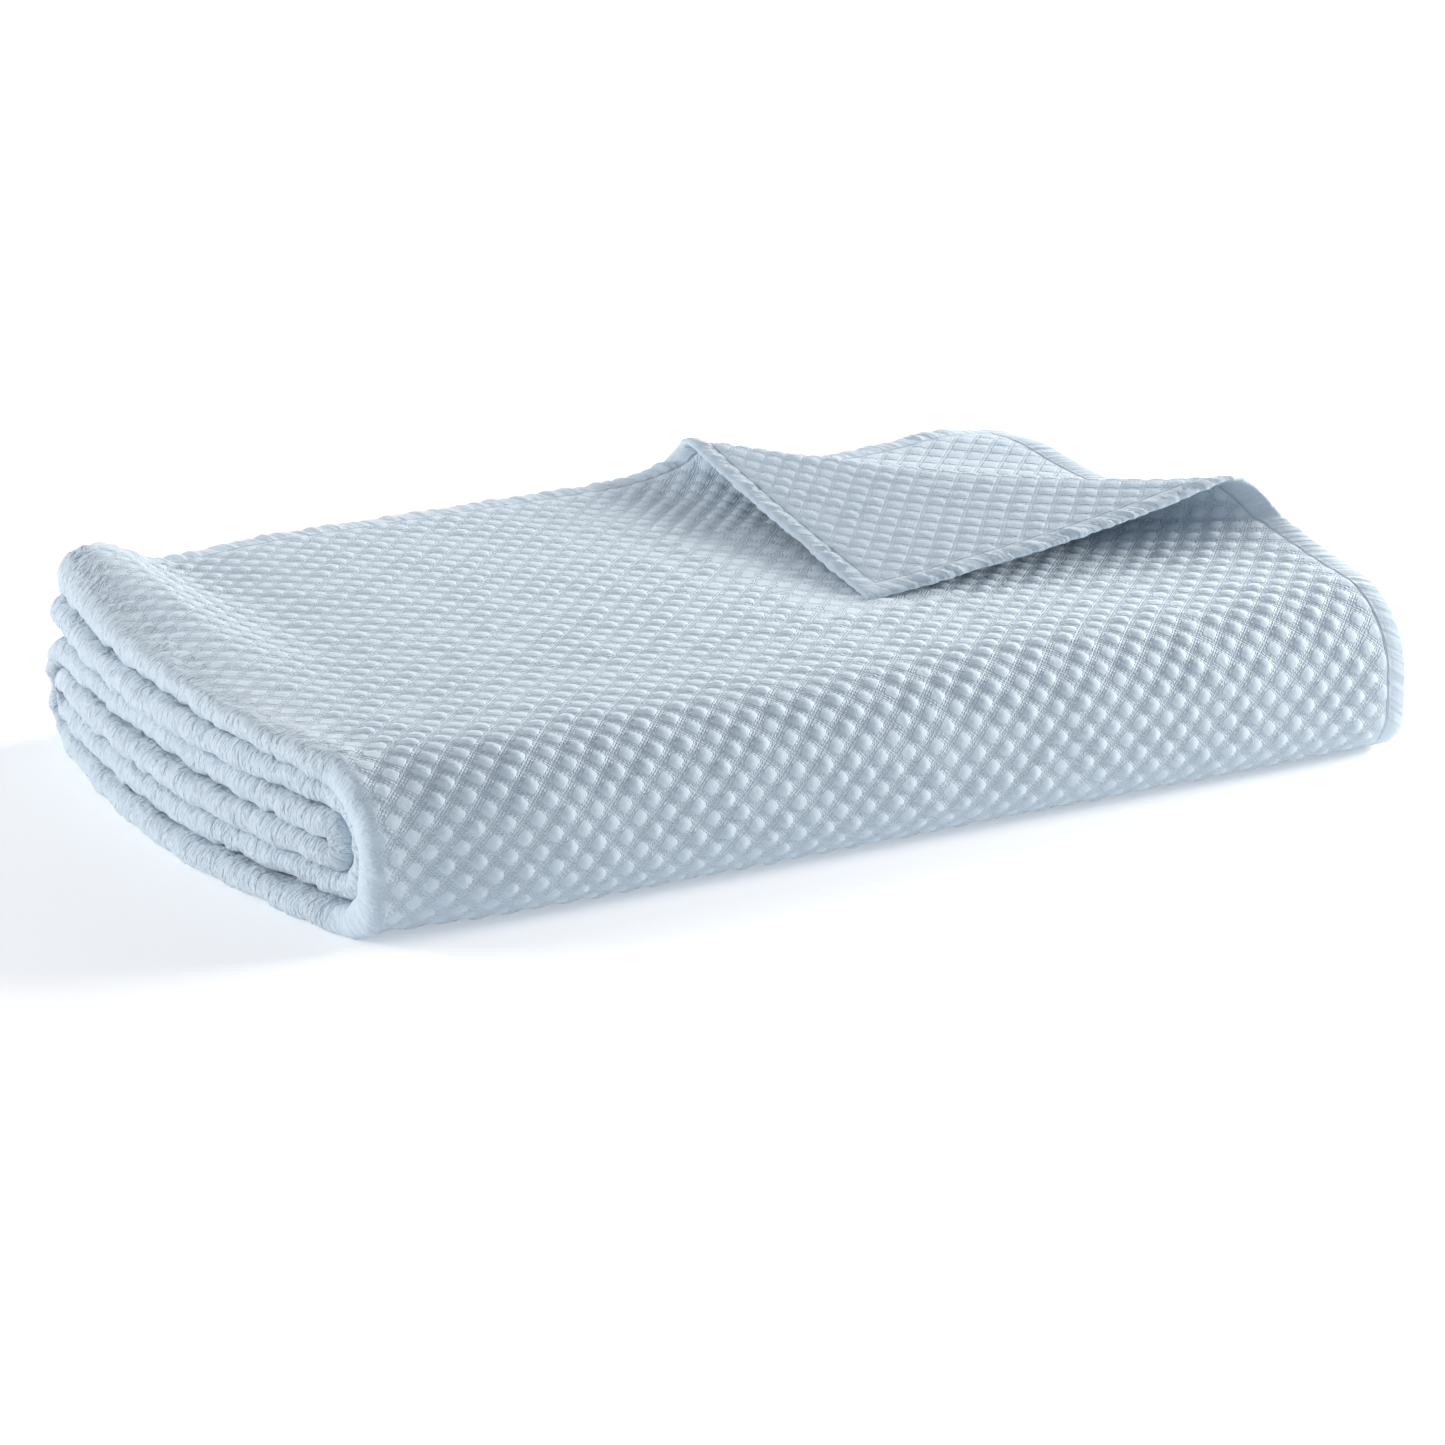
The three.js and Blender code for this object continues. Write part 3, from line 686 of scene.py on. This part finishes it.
# %% Building the sheet's mesh
SLIP, SLIP_PITCH, SLIP_EASE = 0.9, 42.0, 60.0    # the cloth lies a little unevenly in its own plane
WAVE_PITCH, EVEN_DRAW = 25.0, 0.4                # the hem's edge wanders, and is drawn in at creases
PUCKER_SPREAD = 20.0                             # the nose's fine puckers fade out over this width
low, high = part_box("coverlet")
shift = np.array([high.x / MM - HEM_X, high.y / MM - TOP_REAR_Y, 0.0])


def new_mesh(name, points, quads, triangles):
    """A mesh object from arrays of points, four-sided faces and triangles."""
    mesh = bpy.data.meshes.new(name)
    mesh.vertices.add(len(points))
    mesh.vertices.foreach_set("co", points.astype(np.float32).ravel())
    corners = np.concatenate([quads.ravel(), triangles.ravel()]).astype(np.int32)
    mesh.loops.add(len(corners))
    mesh.loops.foreach_set("vertex_index", corners)
    quad_starts = 4 * np.arange(len(quads))
    starts = np.concatenate([quad_starts, 4 * len(quads) + 3 * np.arange(len(triangles))])
    mesh.polygons.add(len(starts))
    mesh.polygons.foreach_set("loop_start", starts.astype(np.int32))
    mesh.update(calc_edges=True)
    mesh.polygons.foreach_set("use_smooth", np.ones(len(starts), bool))
    made = bpy.data.objects.new(name, mesh)
    bpy.context.scene.collection.objects.link(made)
    return made, corners


u, p = places.T
v = to_cloth(p)
edge, place = edge_distance(u, v)
bulge, full = gathers(u, v, np.full(len(u), -1))
draw_in = full * noise(place / WAVE_PITCH, 0 * place, 8) + SCALLOP * full * (EVEN_DRAW - bulge)
draw_in = draw_in * (1 - smooth_step(0, SCALLOP_REACH, edge))
to_side = np.minimum(u, U[-1] - u) <= np.minimum(v, V[-1] - v)
inwards_u = np.where(to_side, draw_in * np.sign(U[-1] / 2 - u), 0)
inwards_v = np.where(~to_side, draw_in * np.sign(V[-1] / 2 - v), 0)
slip_u, slip_v = (SLIP * noise(u / SLIP_PITCH, v / SLIP_PITCH, layer) for layer in (12, 13))
eased = smooth_step(0, SLIP_EASE, edge)
x, y, z = sheet_point(u + slip_u * eased + inwards_u, v + slip_v * eased + inwards_v,
                      cloth_offset(u, v, sides))
z = np.maximum(z, 0)
points = (np.stack([x, y, z], 1) + shift) * MM
coverlet, corners = new_mesh("quilted_cotton_sheet", points, quads, triangles)
mesh = coverlet.data

uv = mesh.uv_layers.new(name="cloth")
uv.data.foreach_set("uv", (places[corners] * MM).astype(np.float32).ravel())
kept_on_points = {
    "quilted": strength(u, v, sides) * smooth_step(HEM, HEM + 3, edge),
    "reverse": sides < 0,
    "ridge": nose(u, PUCKER_SPREAD) * (sides > 0) * (1 - ROLL_LESS * front_roll(v)),
    "from_edge": np.minimum(edge, 2.5 * HEM) * MM,
    "along_edge": place * MM,
}
for name, values in kept_on_points.items():
    layer = mesh.attributes.new(name, "FLOAT", "POINT")
    layer.data.foreach_set("value", values.astype(np.float32))
print("mesh is sound:", not mesh.validate())

# %% [markdown]
# ## Materials
#
# The cloth is woven cotton: matt, with a faint fuzz that catches light at a grazing angle.
# Its colour hardly changes; what the eye reads as pattern is relief. So the material's work
# is a height map in the cloth's own coordinates: rows of short stitches along each band,
# the crisp rim where each diamond falls to its bands, fine puckers on the ridges, and the
# weave. The bands carry a little painted shade: a tint a very little darker, where shade
# would fall between the puffs.

# %% Colours and a helper for nodes
def colour(hex_code):
    """A linear colour from an sRGB hex code: each channel c becomes ((c + 0.055) / 1.055)^2.4,
    or c / 12.92 when it is very dark."""
    c = np.array([int(hex_code[k:k + 2], 16) / 255 for k in (0, 2, 4)])
    linear = np.where(c <= 0.04045, c / 12.92, ((c + 0.055) / 1.055) ** 2.4)
    return (*linear.tolist(), 1.0)


def node(tree, kind, inputs=None, **settings):
    """Adds a node, gives it its settings, and sets or links its inputs by number or name."""
    made = tree.nodes.new(kind)
    for name, value in settings.items():
        setattr(made, name, value)
    for name, value in (inputs or {}).items():
        if isinstance(value, bpy.types.Node):
            value = value.outputs[0]
        if isinstance(value, bpy.types.NodeSocket):
            tree.links.new(value, made.inputs[name])
        else:
            made.inputs[name].default_value = value
    return made


def maths(tree, operation, *values):
    """One arithmetic step on numbers or on other nodes' results."""
    return node(tree, "ShaderNodeMath", dict(enumerate(values)), operation=operation)


# %% [markdown]
# The stitched bands are drawn with three rows of small stitches on the face and two on the
# reverse. A cosine of the distance to the band's middle makes the rows, and a sine along
# the band breaks them into stitches. The plain hem has a lock-stitched seam instead, and
# small creases that slant across it. Heights are in millimetres.

# %% Woven quilted cotton
ROW_GAP, REVERSE_GAP = 0.125, 0.15   # between stitch rows, as shares of a diamond's side of 11 mm
STITCH = 2.2                 # length of a stitch, drawn a little coarse so that it shows
SIDE = 1 / np.hypot(1 / DIAMOND_WIDE, 1 / DIAMOND_LONG)    # from band to band
FACE_RIM, REVERSE_RIM = (0.27, 0.36), (0.33, 0.42)         # where a diamond's crisp rim falls
RIM_HEIGHT, FACE_STITCH, REVERSE_STITCH = 0.4, 0.45, -0.4
WEAVE_HEIGHT, CREASE_HEIGHT, PUCKER_HEIGHT, STREAK_HEIGHT = 0.2, 0.5, 3.6, 1.6
SEAM_HEIGHT, SEAM_STITCH, HEM_CREASE_HEIGHT, HEM_CREASE = -0.5, 3.4, 0.9, 4.5
# FACE_SHADE and REVERSE_SHADE set how strongly the bands take their painted shade.
FACE_SHADE, REVERSE_SHADE, SEAM_SHADE = 0.2, 0.9, 0.5      # how far the low places take their tint

cotton = bpy.data.materials.new("woven quilted cotton")
cotton.use_nodes = True
tree = cotton.node_tree
tree.nodes.clear()
cloth_place = node(tree, "ShaderNodeUVMap", uv_map="cloth").outputs[0]
reach = {name: node(tree, "ShaderNodeAttribute", attribute_name=name).outputs["Fac"]
         for name in ("quilted", "reverse", "ridge", "from_edge", "along_edge")}


def band_number(sign):
    """a or b: how many bands have been passed at this place of the cloth."""
    slope = (1 / (DIAMOND_WIDE * MM), sign / (DIAMOND_LONG * MM), 0)
    made = node(tree, "ShaderNodeVectorMath", {0: cloth_place, 1: slope}, operation="DOT_PRODUCT")
    return made.outputs["Value"]


def ramp(value, low, high):
    """0 below low, 1 above high, and an even curve between."""
    return node(tree, "ShaderNodeMapRange", {0: value, 1: low, 2: high, 3: 0.0, 4: 1.0},
                interpolation_type="SMOOTHSTEP")


def between(share, first, second):
    """First where share is 0, second where it is 1."""
    return node(tree, "ShaderNodeMix", {0: share, 2: first, 3: second}, data_type="FLOAT")


def rows_of(far, gap, middle_row, widest):
    """Rows of thread, gap apart, out to widest: on the band's middle, or either side of it."""
    wave = maths(tree, "COSINE", maths(tree, "MULTIPLY", far, 2 * np.pi / gap))
    rows = maths(tree, "MULTIPLY_ADD", wave, 0.5 if middle_row else -0.5, 0.5)
    return maths(tree, "MULTIPLY", rows, maths(tree, "LESS_THAN", far, widest))


def stitch_rows(across, along):
    """Depth of the stitch rows of one family of bands, from 0 to 1, and the distance to it."""
    far = maths(tree, "PINGPONG", across, 0.5)
    face = rows_of(far, ROW_GAP, True, 1.5 * ROW_GAP)
    reverse = rows_of(far, REVERSE_GAP, False, 0.9 * REVERSE_GAP)
    wave = maths(tree, "SINE", maths(tree, "MULTIPLY", along, 2 * np.pi * SIDE / STITCH))
    dash = maths(tree, "MULTIPLY_ADD", wave, 0.4, 0.6)
    return maths(tree, "MULTIPLY", between(reach["reverse"], face, reverse), dash), far


a, b = band_number(1), band_number(-1)
rows_a, far_a = stitch_rows(a, b)
rows_b, far_b = stitch_rows(b, a)
stitches = maths(tree, "MULTIPLY", maths(tree, "MAXIMUM", rows_a, rows_b), reach["quilted"])
out_a, out_b = (maths(tree, "POWER", maths(tree, "SUBTRACT", 0.5, far), ROUNDED)
                for far in (far_a, far_b))
out = maths(tree, "POWER", maths(tree, "ADD", out_a, out_b), 1 / ROUNDED)
fallen = between(reach["reverse"], ramp(out, *FACE_RIM), ramp(out, *REVERSE_RIM))
rim = maths(tree, "SUBTRACT", 1.0, fallen)

in_mm = node(tree, "ShaderNodeVectorMath", {0: cloth_place, "Scale": 1 / MM}, operation="SCALE")


def grain(scale, detail):
    """Smooth noise on the cloth, with its scale per millimetre across the width and the length."""
    stretched = node(tree, "ShaderNodeMapping", {"Vector": in_mm, "Scale": (*scale, 1.0)})
    return node(tree, "ShaderNodeTexNoise", {"Vector": stretched, "Scale": 1.0, "Detail": detail})


weave = grain((0.95, 0.95), 2.0)             # slubs and floats of the yarn, about a millimetre
creases = grain((0.16, 0.16), 4.0)           # soft dents of handled cloth
puckers = grain((0.20, 0.26), 2.0)           # knots of crushed cloth on the ridges
streaks = grain((0.30, 0.80), 3.0)           # fine folds that run across them

SEAM_AT, SEAM_HALF = (HEM + 0.6) * MM, 0.55 * MM
seam_far = maths(tree, "ABSOLUTE", maths(tree, "SUBTRACT", reach["from_edge"], SEAM_AT))
seam = maths(tree, "SUBTRACT", 1.0, ramp(seam_far, 0.0, SEAM_HALF))
turns = maths(tree, "MULTIPLY", reach["along_edge"], 2 * np.pi / (SEAM_STITCH * MM))
seam_wave = maths(tree, "MULTIPLY_ADD", maths(tree, "SINE", turns), 0.15, 0.8)
seam = maths(tree, "MULTIPLY", seam, seam_wave)
on_hem = maths(tree, "SUBTRACT", 1.0, ramp(reach["from_edge"], (HEM - 1) * MM, HEM * MM))
slant = maths(tree, "MULTIPLY_ADD", reach["from_edge"], GATHER_SLANT, reach["along_edge"])
along_hem = maths(tree, "MULTIPLY", slant, 1 / (HEM_CREASE * MM))
hem_creases = node(tree, "ShaderNodeTexNoise", {"W": along_hem, "Scale": 1.0, "Detail": 1.0},
                   noise_dimensions="1D")

height = maths(tree, "MULTIPLY", maths(tree, "MULTIPLY", rim, RIM_HEIGHT), reach["quilted"])
stitch_height = between(reach["reverse"], FACE_STITCH, REVERSE_STITCH)
height = maths(tree, "MULTIPLY_ADD", stitches, stitch_height, height)
for pattern, tall in ((weave, WEAVE_HEIGHT),
                      (creases, CREASE_HEIGHT),
                      (maths(tree, "MULTIPLY", puckers, reach["ridge"]), PUCKER_HEIGHT),
                      (maths(tree, "MULTIPLY", streaks, reach["ridge"]), STREAK_HEIGHT),
                      (maths(tree, "MULTIPLY", hem_creases, on_hem), HEM_CREASE_HEIGHT),
                      (seam, SEAM_HEIGHT)):
    height = maths(tree, "MULTIPLY_ADD", pattern, tall, height)
bump = node(tree, "ShaderNodeBump", {"Strength": 1.0, "Distance": MM, "Height": height})

# The reverse's darker blue is painted shade. The whole reverse is tinted darker so that the turned-back
# corner looks shaded, and the bared reverse takes the same tint.
PUFF_BLUE, REVERSE_PAINTED_SHADE_BLUE = colour("C2D1DD"), colour("B3C3D0")
BAND_PAINTED_SHADE_BLUE, SEAM_BLUE = colour("A8B7C5"), colour("93A3B2")
# Painted shade: the low bands are tinted towards the darker band blue. On the face it is strongest
# between the stitches, and on the reverse along the thread rows, where shade would fall.
shaded_band = maths(tree, "MULTIPLY", maths(tree, "SUBTRACT", 1.0, rim), reach["quilted"])
beside_thread = maths(tree, "SUBTRACT", 1.0, stitches)
at_thread = maths(tree, "MULTIPLY", stitches, 1.3)
stitch_row_shade = between(reach["reverse"], beside_thread, at_thread)
stitch_row_shade = maths(tree, "MULTIPLY", stitch_row_shade, between(reach["reverse"], FACE_SHADE, REVERSE_SHADE))
shade = maths(tree, "MULTIPLY", shaded_band, stitch_row_shade)


def mixed_colour(share, first, second):
    """The first colour where share is 0, the second where it is 1."""
    made = node(tree, "ShaderNodeMix", {0: share, 6: first, 7: second}, data_type="RGBA")
    return made.outputs[2]


# Painted shade: the reverse takes its darker blue, and the bands take the darker band blue through the
# shade mask.
tint = mixed_colour(shade, mixed_colour(reach["reverse"], PUFF_BLUE, REVERSE_PAINTED_SHADE_BLUE), BAND_PAINTED_SHADE_BLUE)
tint = mixed_colour(maths(tree, "MULTIPLY", seam, SEAM_SHADE), tint, SEAM_BLUE)
shader = node(tree, "ShaderNodeBsdfPrincipled", {
    "Base Color": tint, "Roughness": 0.88, "Specular IOR Level": 0.25,
    "Sheen Weight": 0.25, "Sheen Roughness": 0.45, "Normal": bump})
node(tree, "ShaderNodeOutputMaterial", {"Surface": shader})
coverlet.data.materials.append(cotton)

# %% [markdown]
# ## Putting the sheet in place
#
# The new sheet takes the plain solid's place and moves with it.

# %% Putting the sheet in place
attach(coverlet, "root")
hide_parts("coverlet")

# %% [markdown]
# ## Floor, light and camera
#
# A pale plain floor, three soft lights and white surroundings. The key light comes low from
# the right and a little in front, so that it grazes the front and gives every puff a bright
# edge. One light behind it on the right, and one behind on the left, do the same for the top
# and the left end. The floor glows a little more the farther it is from the middle, which
# keeps it white out to the picture's edges. The camera has a long lens and looks from the
# front left, a little above the cloth.

# %% Floor
REACH = 6.0                             # metres from the middle to the floor's sides
GLOW_FROM, GLOW_TO = 0.4, 1.3           # metres from the middle
NEAR_GLOW, FAR_GLOW = 0.28, 0.5
floor_mesh = bpy.data.meshes.new("floor")
corners_of_floor = [(-REACH, -REACH, 0), (REACH, -REACH, 0), (REACH, REACH, 0), (-REACH, REACH, 0)]
floor_mesh.from_pydata(corners_of_floor, [], [(0, 1, 2, 3)])
floor = bpy.data.objects.new("floor", floor_mesh)
bpy.context.scene.collection.objects.link(floor)
paper = bpy.data.materials.new("white paper")
paper.use_nodes = True
surface = paper.node_tree.nodes["Principled BSDF"].inputs
surface["Base Color"].default_value = colour("E9EAEB")
surface["Roughness"].default_value = 0.9
surface["Emission Color"].default_value = colour("FAFCFF")
here = node(paper.node_tree, "ShaderNodeNewGeometry").outputs["Position"]
far = node(paper.node_tree, "ShaderNodeVectorMath", {0: here}, operation="LENGTH").outputs["Value"]
glow = node(paper.node_tree, "ShaderNodeMapRange",
            {0: far, 1: GLOW_FROM, 2: GLOW_TO, 3: NEAR_GLOW, 4: FAR_GLOW})
paper.node_tree.links.new(glow.outputs[0], surface["Emission Strength"])
floor_mesh.materials.append(paper)

# %% Lights
CLOTH_MIDDLE = Vector((0, 0, 0.05))


def soft_light(name, place, size, power, tint):
    """A square area light that faces the middle of the cloth."""
    lamp = bpy.data.lights.new(name, "AREA")
    lamp.size, lamp.energy, lamp.color = size, power, tint[:3]
    made = bpy.data.objects.new(name, lamp)
    made.location = place
    towards = CLOTH_MIDDLE - Vector(place)
    made.rotation_euler = towards.to_track_quat("-Z", "Y").to_euler()
    bpy.context.scene.collection.objects.link(made)


soft_light("key", (2.10, -0.58, 0.66), 0.8, 60, colour("FFF9F0"))
soft_light("rear right", (1.95, 0.55, 0.90), 0.9, 32, colour("FFFAF3"))
soft_light("rear left", (-2.10, 1.10, 0.60), 1.2, 44, colour("FFFBF6"))
world = bpy.data.worlds.new("studio")
world.use_nodes = True
surroundings = world.node_tree.nodes["Background"].inputs
surroundings["Color"].default_value = colour("F3F7FF")
surroundings["Strength"].default_value = 0.52
bpy.context.scene.world = world
bpy.context.scene.view_settings.view_transform = "Standard"

# %% Camera
TURN, TILT = np.radians(-29.40), np.radians(18.56)
DISTANCE, FRAME_PIXELS, LENS_PIXELS = 2.5775, 1445, 5000    # metres; the picture's width and lens
ASIDE, ABOVE, AIM_HEIGHT = 0.0054, -0.0312, 0.04            # metres
back = np.array([np.sin(TURN) * np.cos(TILT), -np.cos(TURN) * np.cos(TILT), np.sin(TILT)])
right = np.array([np.cos(TURN), np.sin(TURN), 0.0])
up = np.cross(back, right)
aim = shift * MM + np.array([0, 0, AIM_HEIGHT])
eye = aim + back * DISTANCE + right * ASIDE + up * ABOVE
lens = bpy.data.cameras.new("camera")
lens.sensor_width = 36.0
lens.lens = lens.sensor_width * LENS_PIXELS / FRAME_PIXELS
camera = bpy.data.objects.new("camera", lens)
axes = Matrix(np.stack([right, up, back], 1).tolist()).to_4x4()
camera.matrix_world = Matrix.Translation(eye.tolist()) @ axes
bpy.context.scene.collection.objects.link(camera)
bpy.context.scene.camera = camera
print("lens", round(lens.lens, 1), "mm, camera at", eye.round(3).tolist())
